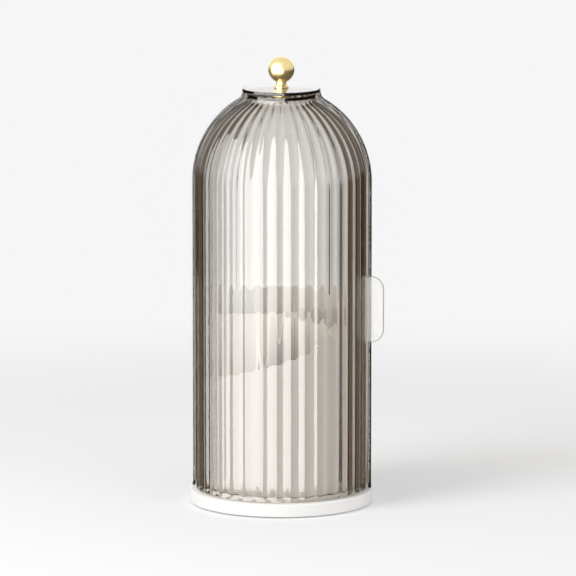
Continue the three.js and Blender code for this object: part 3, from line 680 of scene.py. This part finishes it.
def fluted_shell(shells, start, sweep, inset, outer_top, inner_top):
    """Spins the wall of a half shell, presses its flutes in from the outside and rounds its ends."""
    bm = bmesh.new()
    side = bm.verts.layers.float.new("outside")
    # The wall starts and ends on a column of faces, so that every flute has the same columns.
    pitch = math.tau / shells.flutes / shells.flute_steps
    first = round((start - shells.flute_phase) / pitch)
    columns = round((start + sweep - shells.flute_phase) / pitch) - first
    start = shells.flute_phase + first * pitch
    sweep = columns * pitch
    foot = low("front_door")
    dome_radius = shells.radius + shells.dome_swell
    dome_end = math.acos((shells.neck + shells.flare + shells.dome_swell) / dome_radius)
    dome_top = shells.shoulder + dome_radius * math.sin(dome_end)

    def wall_side(depth, top, mark, rows):
        """One side of the wall from its foot to the top of its neck, as a list of vertices."""
        heights = [foot, *rows, shells.shoulder]
        verts = [bm.verts.new((0, depth - shells.radius, height)) for height in heights]
        known = set(bm.verts)
        bmesh.ops.spin(
            bm,
            geom=[verts[-1]],
            cent=(0, shells.dome_swell, shells.shoulder),
            axis=(-1, 0, 0),
            angle=dome_end,
            steps=shells.dome_steps,
        )
        verts += [v for v in bm.verts if v not in known]
        neck = shells.neck - depth
        bend = verts[-1].co.z - (verts[-1].co.y + neck) / math.tan(dome_end)
        verts += [bm.verts.new((0, -neck, height)) for height in (bend, top)]
        for vert in verts:
            vert[side] = mark
        return verts

    run_rows = [
        foot + shells.band + shells.run_out * i / shells.run_steps for i in range(shells.run_steps + 1)
    ]
    outside = wall_side(inset, outer_top, 1, run_rows)
    inside = wall_side(inset + shells.wall, inner_top, 0, [])
    bm.faces.new(outside + inside[::-1])
    for bend in (outside[-2], inside[-2]):
        room = min(outer_top, inner_top) - bend.co.z
        rounded(bm, [bend], NECK_BEND * room, shells.neck_steps)
    swing(bm, bm.verts[:], start)
    bmesh.ops.spin(
        bm,
        geom=all_of(bm),
        cent=(0, 0, 0),
        axis=(0, 0, 1),
        angle=sweep,
        steps=columns,
        use_merge=False,
    )

    # Columns for the round of the two upright ends
    corner = shells.wall / 2 / shells.radius
    for cut in range(1, shells.end_steps + 1):
        step = corner * (1 - math.cos(math.pi / 2 * cut / shells.end_steps))
        for angle in (start + step, start + sweep - step):
            across = (math.cos(angle), math.sin(angle), 0)
            bmesh.ops.bisect_plane(
                bm, geom=all_of(bm), dist=CUT_CLEARANCE, plane_co=(0, 0, 0), plane_no=across
            )

    for vert in bm.verts:
        angle = math.atan2(vert.co.x, -vert.co.y)
        radius = math.hypot(vert.co.x, vert.co.y)
        height = vert.co.z
        tilt = max(0, math.atan2(height - shells.shoulder, radius + shells.dome_swell))
        hollow = shells.flute_depth * (1 - math.cos(shells.flutes * (angle - shells.flute_phase))) / 2
        if height < shells.shoulder:
            # The flutes run out in a quarter round above the foot.
            run = min(1, max(0, (height - foot - shells.band) / shells.run_out))
            hollow *= math.sqrt(1 - (1 - run) ** 2)
        else:
            # They get shallower as the dome narrows, and end at the top of the neck.
            near = (dome_radius * math.cos(min(tilt, dome_end)) - shells.dome_swell) / shells.radius
            hollow *= near * min(1, max(0, (outer_top - height) / (outer_top - dome_top)))
        # Near an upright end the two sides of the wall pinch together into a round.
        gone = (angle - start + pitch) % math.tau - pitch
        near_end = min(1, max(0, min(gone, sweep - gone)) / corner)
        thin = 1 - max(END_FLAT, math.sqrt(1 - (1 - near_end) ** 2))
        pinch = thin * (shells.wall - hollow) / 2
        if vert[side] < 0.5:
            hollow, pinch = 0, -pinch
        inward = 1 - (hollow * math.cos(tilt) + pinch) / radius
        vert.co = (vert.co.x * inward, vert.co.y * inward, height - hollow * math.sin(tilt))
    return bm


class ORGANIZER_OT_shells(bpy.types.Operator):
    """Spins the fixed rear shell and the turning door, with their flutes, roof and snap tabs"""

    bl_idname = "organizer.shells"
    bl_label = "Fluted shells"

    def execute(self, context):
        shells = context.scene.organizer_shells
        tabs = context.scene.organizer_tabs
        neck_top = high("rear_shell")
        wall = fluted_shell(shells, shells.rear_start, shells.rear_sweep, 0, neck_top, neck_top)
        rear = closed(wall, "rear_half_shell")
        inner, outer = tab_radii(shells, tabs)
        bottom = low("rear_shell")
        # A tab reaches halfway into the smooth band, so that no flute cuts it.
        top = low("front_door") + shells.band / 2
        barb_top = bottom + tabs.barb_height
        barb = inner - tabs.barb
        snap = [
            (barb, bottom),
            (outer, bottom),
            (outer, top),
            (inner, top),
            (inner, barb_top),
            (barb, barb_top),
        ]
        snaps = bmesh.new()
        for angle in tab_angles(shells, tabs):
            plate(snaps, angle, tabs.width, snap)
        carve(rear, snaps, "UNION")
        place_piece(rear, "rear_shell", "base", "smoke_plastic")

        top = high("front_door")
        under = top - shells.roof
        wall = fluted_shell(shells, shells.door_start, shells.door_sweep, shells.door_inset, top, under)
        door = closed(wall, "front_half_shell")
        # The roof ends a hair inside the neck's outside, so that no two faces lie on each other.
        edge = shells.neck - shells.door_inset - 0.02 * MM
        carve(door, turned(ring(shells.roof_bore, edge, under, top), WIDE_STEPS), "UNION")
        place_piece(door, "front_door", "door", "smoke_plastic")
        return {"FINISHED"}


LATE_CLIMB = 0.45  # share of the rim's climb that comes near its high end
NUDGE = 1e-6  # keeps the rim's start, at no angle, from counting as a full turn


def rim_height(cup, angle):
    """Height of the cup's rim at an angle from the front to the right."""
    share = min(((angle - cup.rim_start) % math.tau) / cup.rim_ramp, 1)
    climb = (1 - LATE_CLIMB) * share + LATE_CLIMB * share**4
    return cup.rim_low + (cup.rim_high - cup.rim_low) * climb


class ORGANIZER_OT_cup(bpy.types.Operator):
    """Turns the white cup and lifts its rim into a spiral"""

    bl_idname = "organizer.cup"
    bl_label = "Cup"

    def execute(self, context):
        cup = context.scene.organizer_cup
        inner = cup.radius - cup.wall
        floor_top = cup.floor + cup.floor_thickness
        bm = bmesh.new()
        lift = bm.verts.layers.float.new("lift")
        outline(
            bm,
            [
                (cup.bore, cup.floor),
                (inner, cup.floor),
                (inner, cup.skirt),
                (cup.radius, cup.skirt),
                (cup.radius, cup.rim_low),
                (inner, cup.rim_low),
                (inner, floor_top),
                (cup.bore, floor_top),
            ],
            {3: (FINE_EDGE, 2), 4: (cup.lip, 4), 5: (cup.lip, 4), 6: (cup.floor_round, 4)},
        )
        for vert in bm.verts:
            vert[lift] = 1 if vert.co.z > cup.rim_low - 2 * cup.lip else 0
        swing(bm, bm.verts[:], cup.rim_start)
        turn_outline(bm, WIDE_STEPS)
        pitch = math.tau / WIDE_STEPS
        for vert in bm.verts:
            angle = math.atan2(vert.co.x, -vert.co.y)
            back = (cup.rim_start - angle) % math.tau
            # The last column before the start moves up to it and stays high, which makes the step.
            last = abs(back - pitch) < pitch / 4
            if last:
                vert.co = Matrix.Rotation(back - cup.rim_step, 3, "Z") @ vert.co
            if vert[lift] > 0.5:
                vert.co.z += (cup.rim_high if last else rim_height(cup, angle + NUDGE)) - cup.rim_low
        piece = closed(bm, "white_cup")
        holes = bmesh.new()
        for angle in around(cup.lugs, offset=0.5):
            peg(holes, angle, cup.lug_circle, cup.lug_hole, cup.floor - MM, floor_top + MM)
        carve(piece, holes, "DIFFERENCE")
        place_piece(piece, "inner_cup", "turntable", "white_plastic")
        return {"FINISHED"}


class ORGANIZER_OT_divider(bpy.types.Operator):
    """Builds the divider: a hub with five fins that follow the rim"""

    bl_idname = "organizer.divider"
    bl_label = "Divider"

    def execute(self, context):
        cup = context.scene.organizer_cup
        bottom, top = span("cup_divider")
        roof = top - cup.hub_wall
        inner = cup.hub_radius - cup.hub_wall
        hub = [
            (inner, bottom),
            (cup.hub_radius, bottom),
            (cup.hub_radius, top),
            (0, top),
            (0, roof),
            (inner, roof),
        ]
        piece = closed(turned(hub, SMALL_STEPS, {2: (cup.hub_round, 4)}), "star_divider")
        start = cup.hub_radius - cup.hub_wall / 2
        end = cup.radius - cup.wall - SEAT
        for number, angle in enumerate(around(cup.fins, cup.fin_start)):
            # The first fin stands at the rim's step and keeps its height, the others follow the rim.
            wall_top = top if number == 0 else min(top, rim_height(cup, angle) - cup.fin_drop)
            fin = bmesh.new()
            corners = [(start, bottom), (end, bottom), (end, wall_top), (start, top)]
            plate(fin, angle, cup.fin_thickness, corners)
            carve(piece, fin, "UNION")
        place_piece(piece, "cup_divider", "turntable", "white_plastic")
        return {"FINISHED"}


class ORGANIZER_OT_top(bpy.types.Operator):
    """Turns the clear top disc, the pivot's bush and washer, and the knob's screw"""

    bl_idname = "organizer.top"
    bl_label = "Top disc and pivot"

    def execute(self, context):
        top = context.scene.organizer_top
        edge = (top.disc_edge, 5)
        disc = turned(ring(top.bore, top.disc_radius, *span("top_disc")), WIDE_STEPS, {1: edge, 2: edge})
        place_piece(closed(disc, "clear_top_disc"), "top_disc", "base", "smoke_plastic")

        fine = (top.brass_edge, 2)
        bottom, head = span("pivot_bush")
        flange = high("front_door") + SEAT
        bush = [
            (top.bore, bottom),
            (top.bush_radius, bottom),
            (top.bush_radius, flange),
            (top.bush_flange, flange),
            (top.bush_flange, head),
            (top.bore, head),
        ]
        bush = turned(bush, SMALL_STEPS, {1: fine, 3: fine, 4: fine})
        place_piece(closed(bush, "brass_bush"), "pivot_bush", "base", "gold_plating")

        washer = ring(top.bore, top.washer_radius, *span("pivot_washer"))
        washer = turned(washer, SMALL_STEPS, {1: fine, 2: fine})
        place_piece(closed(washer, "brass_washer"), "pivot_washer", "base", "gold_plating")

        bottom, tip = span("knob_screw")
        head = bottom + top.screw_head_height
        screw = [
            (0, bottom),
            (top.screw_head, bottom),
            (top.screw_head, head),
            (top.screw_radius, head),
            (top.screw_radius, tip),
            (0, tip),
        ]
        screw = turned(screw, SCREW_STEPS, {1: (top.screw_head_round, 4), 4: (FINE_EDGE, 2)})
        place_piece(closed(screw, "pan_head_screw"), "knob_screw", "base", "gold_plating")
        return {"FINISHED"}


class ORGANIZER_OT_knob(bpy.types.Operator):
    """Turns the gold ball knob with its foot and neck"""

    bl_idname = "organizer.knob"
    bl_label = "Knob"

    def execute(self, context):
        top = context.scene.organizer_top
        bottom, crown = span("lid_knob")
        centre = crown - top.ball_radius
        foot = bottom + top.foot_height
        start = math.asin(top.neck_radius / top.ball_radius)
        lower = [
            (0, bottom + top.thread_depth),
            (top.bore, bottom + top.thread_depth),
            (top.bore, bottom),
            (top.foot_radius, bottom),
            (top.foot_radius, foot),
            (top.neck_radius, foot + top.foot_flare),
            (top.neck_radius, centre - top.ball_radius * math.cos(start)),
        ]
        bm = bmesh.new()
        lower = [bm.verts.new((0, -radius, height)) for radius, height in lower]
        for pair in zip(lower, lower[1:]):
            bm.edges.new(pair)
        bmesh.ops.spin(
            bm,
            geom=[lower[-1]],
            cent=(0, 0, centre),
            axis=(-1, 0, 0),
            angle=math.pi - start,
            steps=top.ball_steps,
        )
        turn_outline(bm, SMALL_STEPS)
        place_piece(closed(bm, "gold_ball_knob"), "lid_knob", "base", "gold_plating")
        return {"FINISHED"}


class ORGANIZER_OT_handle(bpy.types.Operator):
    """Builds the door's milky handle tab on its foot"""

    bl_idname = "organizer.handle"
    bl_label = "Handle tab"

    def execute(self, context):
        handle = context.scene.organizer_handle
        bottom, top = span("door_handle")
        corner = (handle.corner, handle.corner_steps)
        tab = bmesh.new()
        corners = ring(handle.floor, handle.reach, bottom, top)
        plate(tab, handle.angle, handle.thickness, corners, {1: corner, 2: corner})
        rim = [e for e in tab.edges if any(len(f.verts) > 4 for f in e.link_faces)]
        rounded(tab, rim, handle.edge, 4, "EDGES")
        piece = closed(tab, "handle_tab")
        foot = bmesh.new()
        foot_top = handle.foot_floor + handle.foot_thickness
        block(foot, handle.angle, handle.foot_width, handle.foot_floor, foot_top, bottom, top)
        carve(piece, foot, "UNION")
        place_piece(piece, "door_handle", "door", "milky_plastic")
        return {"FINISHED"}


class ORGANIZER_OT_pad(bpy.types.Operator):
    """Turns the anti-slip foam pad under the base"""

    bl_idname = "organizer.pad"
    bl_label = "Anti-slip pad"

    def execute(self, context):
        bottom, top = span("anti_slip_pad")
        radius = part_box("anti_slip_pad")[1].x
        edge = ((top - bottom) / 4, 4)
        pad = turned(ring(0, radius, bottom, top), WIDE_STEPS, {1: edge, 2: edge})
        piece = closed(pad, "foam_pad")
        place_piece(piece, "anti_slip_pad", "base", "foam_pad")
        return {"FINISHED"}


class ORGANIZER_OT_works(bpy.types.Operator):
    """Gives the turntable, the bearing, the cover and the screws their finishes"""

    bl_idname = "organizer.works"
    bl_label = "Bearing, cover and screws"

    def execute(self, context):
        small = [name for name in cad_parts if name.startswith(("bearing_ball", "base_screw"))]
        dress(["base_cover", "turntable_disc"], "white_plastic")
        dress(["lower_race", "upper_race", "spindle", "spindle_washer", "spindle_screw"], "plain_steel")
        dress(small, "plain_steel")
        dress(["bearing_cage"], "cage_plastic")
        return {"FINISHED"}


# Studio


CAMERA_PLACE = (0.0047, -4.237, 0.862)
MIDDLE = Vector((0, 0, 0.15))  # the point that the lamps and the softbox face
FLOOR_RADIUS = 12
FLOOR_STEPS = 128
FLOOR_GAP = 0.1 * MM  # keeps the paper clear of the pad's underside
SHADOW_REACH = (0.35, 0.8)  # where the paper's even colour starts and ends to cover its shadows
SHADOW_COVER = 0.33  # share of the even colour in the shadow itself

# How far to the side, as a share of how far in front or behind, the paper starts and ends to darken
SIDES_THROUGH = (0.55, 1.15)
SIDES_IN_GLOSS = (0.15, 0.5)

# The softbox's diffuser, seen from the middle: (rise, left end, right end) of each row in degrees.
# Its lower corners are rounded, and its upper part narrows and leans to the left.
SOFTBOX_ROWS = (
    (-15.6, -58, -21),
    (-15.57, -74, -5),
    (-15.52, -84, 5),
    (-15.42, -88, 9),
    (0, -88, 9),
    (17, -85, -3),
    (34, -82, -15),
    (51, -78, -27),
)
SOFTBOX_STEPS = 12
SOFTBOX_REACH = 1.6
# Light that has passed no more surfaces than this has met only the nearest wall.
NEAREST_WALL = 3


def towards(azimuth, elevation):
    """A direction from the middle, in degrees. Azimuth 0 is in front, and 90 is to the right."""
    turn, rise = math.radians(azimuth), math.radians(elevation)
    return Vector((math.sin(turn) * math.cos(rise), -math.cos(turn) * math.cos(rise), math.sin(rise)))


def hang_lamp(name, azimuth, elevation, reach, size, power):
    """Hangs a square lamp that faces the tower's middle."""
    direction = towards(azimuth, elevation)
    lamp = bpy.data.lights.new(name, "AREA")
    lamp.size = size
    lamp.energy = power
    hung = bpy.data.objects.new(name, lamp)
    hung.location = MIDDLE + direction * reach
    hung.rotation_euler = direction.to_track_quat("Z", "Y").to_euler()
    hung.visible_camera = hung.visible_glossy = hung.visible_transmission = False
    bpy.context.scene.collection.objects.link(hung)


def surroundings(tree, place, studio, limits):
    """Colour of the paper in front of and behind the tower, which darkens to its left and right. On the
    paper this darkening is painted shade, in place of dark sides of the room.
    """
    parts = add_node(tree, "SeparateXYZ", {"Vector": place}).outputs
    across = add_node(tree, "Math", {"operation": "ABSOLUTE", 0: parts["X"]})
    along = add_node(tree, "Math", {"operation": "ABSOLUTE", 0: parts["Y"]})
    slant = add_node(tree, "Math", {"operation": "DIVIDE", 0: across, 1: along})
    near, far = limits
    fall = {"Value": slant, "From Min": near, "From Max": far}
    fall = add_node(tree, "MapRange", {**fall, "interpolation_type": "SMOOTHSTEP"})
    colors = {0: fall, 1: opaque(studio.backdrop), 2: opaque(studio.side)}
    return add_node(tree, "MixRGB", colors)


def through_walls(tree, kind, place, studio):
    """What light finds behind a clear wall: the paper, or its dark sides where the wall mirrors them, and
    the bright room where the light comes from the cup. On the paper these are painted: painted shade at
    its sides, a painted reflection of the dark sides, and a painted glow of room light."""
    path = add_node(tree, "LightPath").outputs
    behind = add_node(tree, kind, {"Color": surroundings(tree, place, studio, SIDES_THROUGH)})
    echo = add_node(tree, kind, {"Color": opaque(studio.side), "Strength": studio.echo})
    inside = add_node(tree, kind, {"Color": WHITE, "Strength": studio.inside})
    seen = add_node(tree, "MixShader", {0: path["Glossy Depth"], 1: behind, 2: echo})
    return add_node(tree, "MixShader", {0: path["Diffuse Depth"], 1: seen, 2: inside})


def white_paper(studio):
    """Matt white paper: the object's shadow falls on it, and away from it the paper shows one even
    colour."""
    material, tree = new_material("white_paper")
    path = add_node(tree, "LightPath").outputs
    place = add_node(tree, "TexCoord").outputs["Object"]
    away = add_node(tree, "VectorMath", {"operation": "LENGTH", 0: place}).outputs["Value"]
    near, far = SHADOW_REACH
    even = {"Value": away, "From Min": near, "From Max": far, "To Min": SHADOW_COVER}
    even = add_node(tree, "MapRange", {**even, "interpolation_type": "SMOOTHSTEP"})
    share = add_node(tree, "Math", {"operation": "MULTIPLY", 0: path["Is Camera Ray"], 1: even})
    paper = add_node(tree, "BsdfDiffuse", {"Color": opaque(linear("F9F9F9"))})
    glow = add_node(tree, "Emission", {"Color": opaque(studio.backdrop)})
    lit = add_node(tree, "MixShader", {0: share, 1: paper, 2: glow})
    # Seen through a clear wall, the paper shows painted shade at its sides, a painted reflection of the
    # dark sides, and a painted glow of room light where the light comes from the cup.
    through = through_walls(tree, "Emission", place, studio)
    surface = add_node(tree, "MixShader", {0: path["Is Transmission Ray"], 1: lit, 2: through})
    add_node(tree, "OutputMaterial", {"Surface": surface})
    return material


def softbox_fabric(studio):
    """White nylon that glows evenly. Gloss shows it bright and the walls inside show it faint. The
    back of the nearest wall, which would double each glint, doesn't show it."""
    material, tree = new_material("softbox_fabric")
    material.cycles.emission_sampling = "NONE"
    path = add_node(tree, "LightPath").outputs
    glow, glare, spread, dark = (
        add_node(tree, "Emission", {"Color": WHITE, "Strength": strength})
        for strength in (studio.gloss, studio.glare, studio.spread, 0)
    )
    deeper = {"operation": "GREATER_THAN", 0: path["Transmission Depth"], 1: NEAREST_WALL}
    deeper = add_node(tree, "Math", deeper)
    behind = add_node(tree, "MixShader", {0: deeper, 1: dark, 2: glare})
    surface = add_node(tree, "MixShader", {0: path["Is Transmission Ray"], 1: glow, 2: behind})
    surface = add_node(tree, "MixShader", {0: path["Diffuse Depth"], 1: surface, 2: spread})
    add_node(tree, "OutputMaterial", {"Surface": surface})
    return material


def light_room(studio):
    """The world: even light from all round, and what the background, gloss and clear walls show."""
    world = bpy.data.worlds.new("room")
    world.use_nodes = True
    tree = world.node_tree
    tree.nodes.clear()
    path = add_node(tree, "LightPath").outputs
    direction = add_node(tree, "TexCoord").outputs["Generated"]
    parts = add_node(tree, "SeparateXYZ", {"Vector": direction}).outputs
    room = add_node(tree, "Background", {"Color": WHITE, "Strength": studio.room})
    backdrop = add_node(tree, "Background", {"Color": opaque(studio.backdrop)})
    # Gloss sees a bright room above the table's height, with a panel low behind the tower. Under
    # it the sides are dark, and darker still behind the tower and straight below it. Each row: the
    # part of the direction, where on it the change starts and ends, and the strength before and after.
    above, panel, table, back = (
        add_node(
            tree,
            "MapRange",
            {"Value": parts[axis], "From Min": start, "From Max": end, "To Min": one, "To Max": two},
        )
        for axis, start, end, one, two in (
            ("Z", -0.05, 0, 0, 1),
            ("Y", 0.85, 0.97, 1, 1.7),
            ("Z", -0.6, -0.5, 0.06, 1),
            ("Y", 0, 0.3, 1, 0.12),
        )
    )
    shade = add_node(tree, "Math", {"operation": "MULTIPLY", 0: back, 1: table})
    shine = {"data_type": "FLOAT", "Factor": above, "A": shade, "B": panel}
    sides = surroundings(tree, direction, studio, SIDES_IN_GLOSS)
    mirrored = {
        "Color": add_node(tree, "MixRGB", {0: above, 1: sides, 2: opaque(studio.backdrop)}),
        "Strength": add_node(tree, "Mix", shine),
    }
    mirrored = add_node(tree, "Background", mirrored)
    gloss = add_node(tree, "MixShader", {0: path["Diffuse Depth"], 1: mirrored, 2: room})
    through = through_walls(tree, "Background", direction, studio)
    surface = room
    for ray, seen in (("Camera", backdrop), ("Glossy", gloss), ("Transmission", through)):
        surface = add_node(tree, "MixShader", {0: path[f"Is {ray} Ray"], 1: surface, 2: seen})
    add_node(tree, "OutputWorld", {"Surface": surface})
    bpy.context.scene.world = world


class ORGANIZER_OT_studio(bpy.types.Operator):
    """Sets up the pale floor, the soft light and the camera"""

    bl_idname = "organizer.studio"
    bl_label = "Studio"

    def execute(self, context):
        scene = context.scene
        studio = scene.organizer_studio
        scene.view_settings.view_transform = "Standard"

        lens = bpy.data.cameras.new("camera")
        lens.lens = studio.lens
        camera = bpy.data.objects.new("camera", lens)
        camera.location = CAMERA_PLACE
        camera.rotation_euler = (math.radians(90) - studio.tilt, 0, 0)
        scene.collection.objects.link(camera)
        scene.camera = camera

        bm = bmesh.new()
        bmesh.ops.create_circle(bm, cap_ends=True, segments=FLOOR_STEPS, radius=FLOOR_RADIUS)
        floor = add_object(bm, "floor")
        floor.location.z = -FLOOR_GAP
        floor.visible_glossy = False
        floor.data.materials.append(white_paper(studio))

        light_room(studio)
        hang_lamp("fill_lamp", azimuth=42, elevation=20, reach=1.6, size=1.2, power=studio.fill)
        hang_lamp("key_lamp", azimuth=-51, elevation=45, reach=1.5, size=0.6, power=studio.key)

        bm = bmesh.new()
        rows = []
        for rise, left, right in SOFTBOX_ROWS:
            turns = [left + (right - left) * step / SOFTBOX_STEPS for step in range(SOFTBOX_STEPS + 1)]
            rows.append([bm.verts.new(MIDDLE + towards(turn, rise) * SOFTBOX_REACH) for turn in turns])
        for lower, upper in zip(rows, rows[1:]):
            for i in range(SOFTBOX_STEPS):
                bm.faces.new((lower[i], lower[i + 1], upper[i + 1], upper[i]))
        diffuser = add_object(bm, "diffuser")
        diffuser.visible_camera = diffuser.visible_diffuse = diffuser.visible_shadow = False
        diffuser.data.materials.append(softbox_fabric(studio))
        return {"FINISHED"}


class ORGANIZER_PT_panel(bpy.types.Panel):
    """Lists the organizer's pieces in the sidebar"""

    bl_idname = "ORGANIZER_PT_panel"
    bl_label = "Organizer"
    bl_space_type = "VIEW_3D"
    bl_region_type = "UI"
    bl_category = "Organizer"

    def draw(self, context):
        for group, name in GROUPS.items():
            box = self.layout.box()
            box.label(text=group.__doc__)
            for size in group.__annotations__:
                box.prop(getattr(context.scene, name), size)
        for operator in OPERATORS:
            self.layout.operator(operator.bl_idname)


GROUPS = {
    BaseSizes: "organizer_base",
    ShellSizes: "organizer_shells",
    TabSizes: "organizer_tabs",
    CupSizes: "organizer_cup",
    TopSizes: "organizer_top",
    HandleSizes: "organizer_handle",
    Finishes: "organizer_finishes",
    StudioSettings: "organizer_studio",
}
OPERATORS = [
    ORGANIZER_OT_base,
    ORGANIZER_OT_shells,
    ORGANIZER_OT_cup,
    ORGANIZER_OT_divider,
    ORGANIZER_OT_top,
    ORGANIZER_OT_knob,
    ORGANIZER_OT_handle,
    ORGANIZER_OT_pad,
    ORGANIZER_OT_works,
    ORGANIZER_OT_studio,
]


def register():
    """Adds the settings, the operators and the panel to Blender."""
    for group, name in GROUPS.items():
        bpy.utils.register_class(group)
        setattr(bpy.types.Scene, name, PointerProperty(type=group))
    for operator in OPERATORS:
        bpy.utils.register_class(operator)
    bpy.utils.register_class(ORGANIZER_PT_panel)


def unregister():
    """Takes the settings, the operators and the panel out of Blender again."""
    bpy.utils.unregister_class(ORGANIZER_PT_panel)
    for operator in reversed(OPERATORS):
        bpy.utils.unregister_class(operator)
    for group, name in reversed(GROUPS.items()):
        delattr(bpy.types.Scene, name)
        bpy.utils.unregister_class(group)


def main():
    """Builds every piece and the studio."""
    register()
    bpy.ops.organizer.base()
    bpy.ops.organizer.shells()
    bpy.ops.organizer.cup()
    bpy.ops.organizer.divider()
    bpy.ops.organizer.top()
    bpy.ops.organizer.knob()
    bpy.ops.organizer.handle()
    bpy.ops.organizer.pad()
    bpy.ops.organizer.works()
    bpy.ops.organizer.studio()


if __name__ == "__main__":
    main()
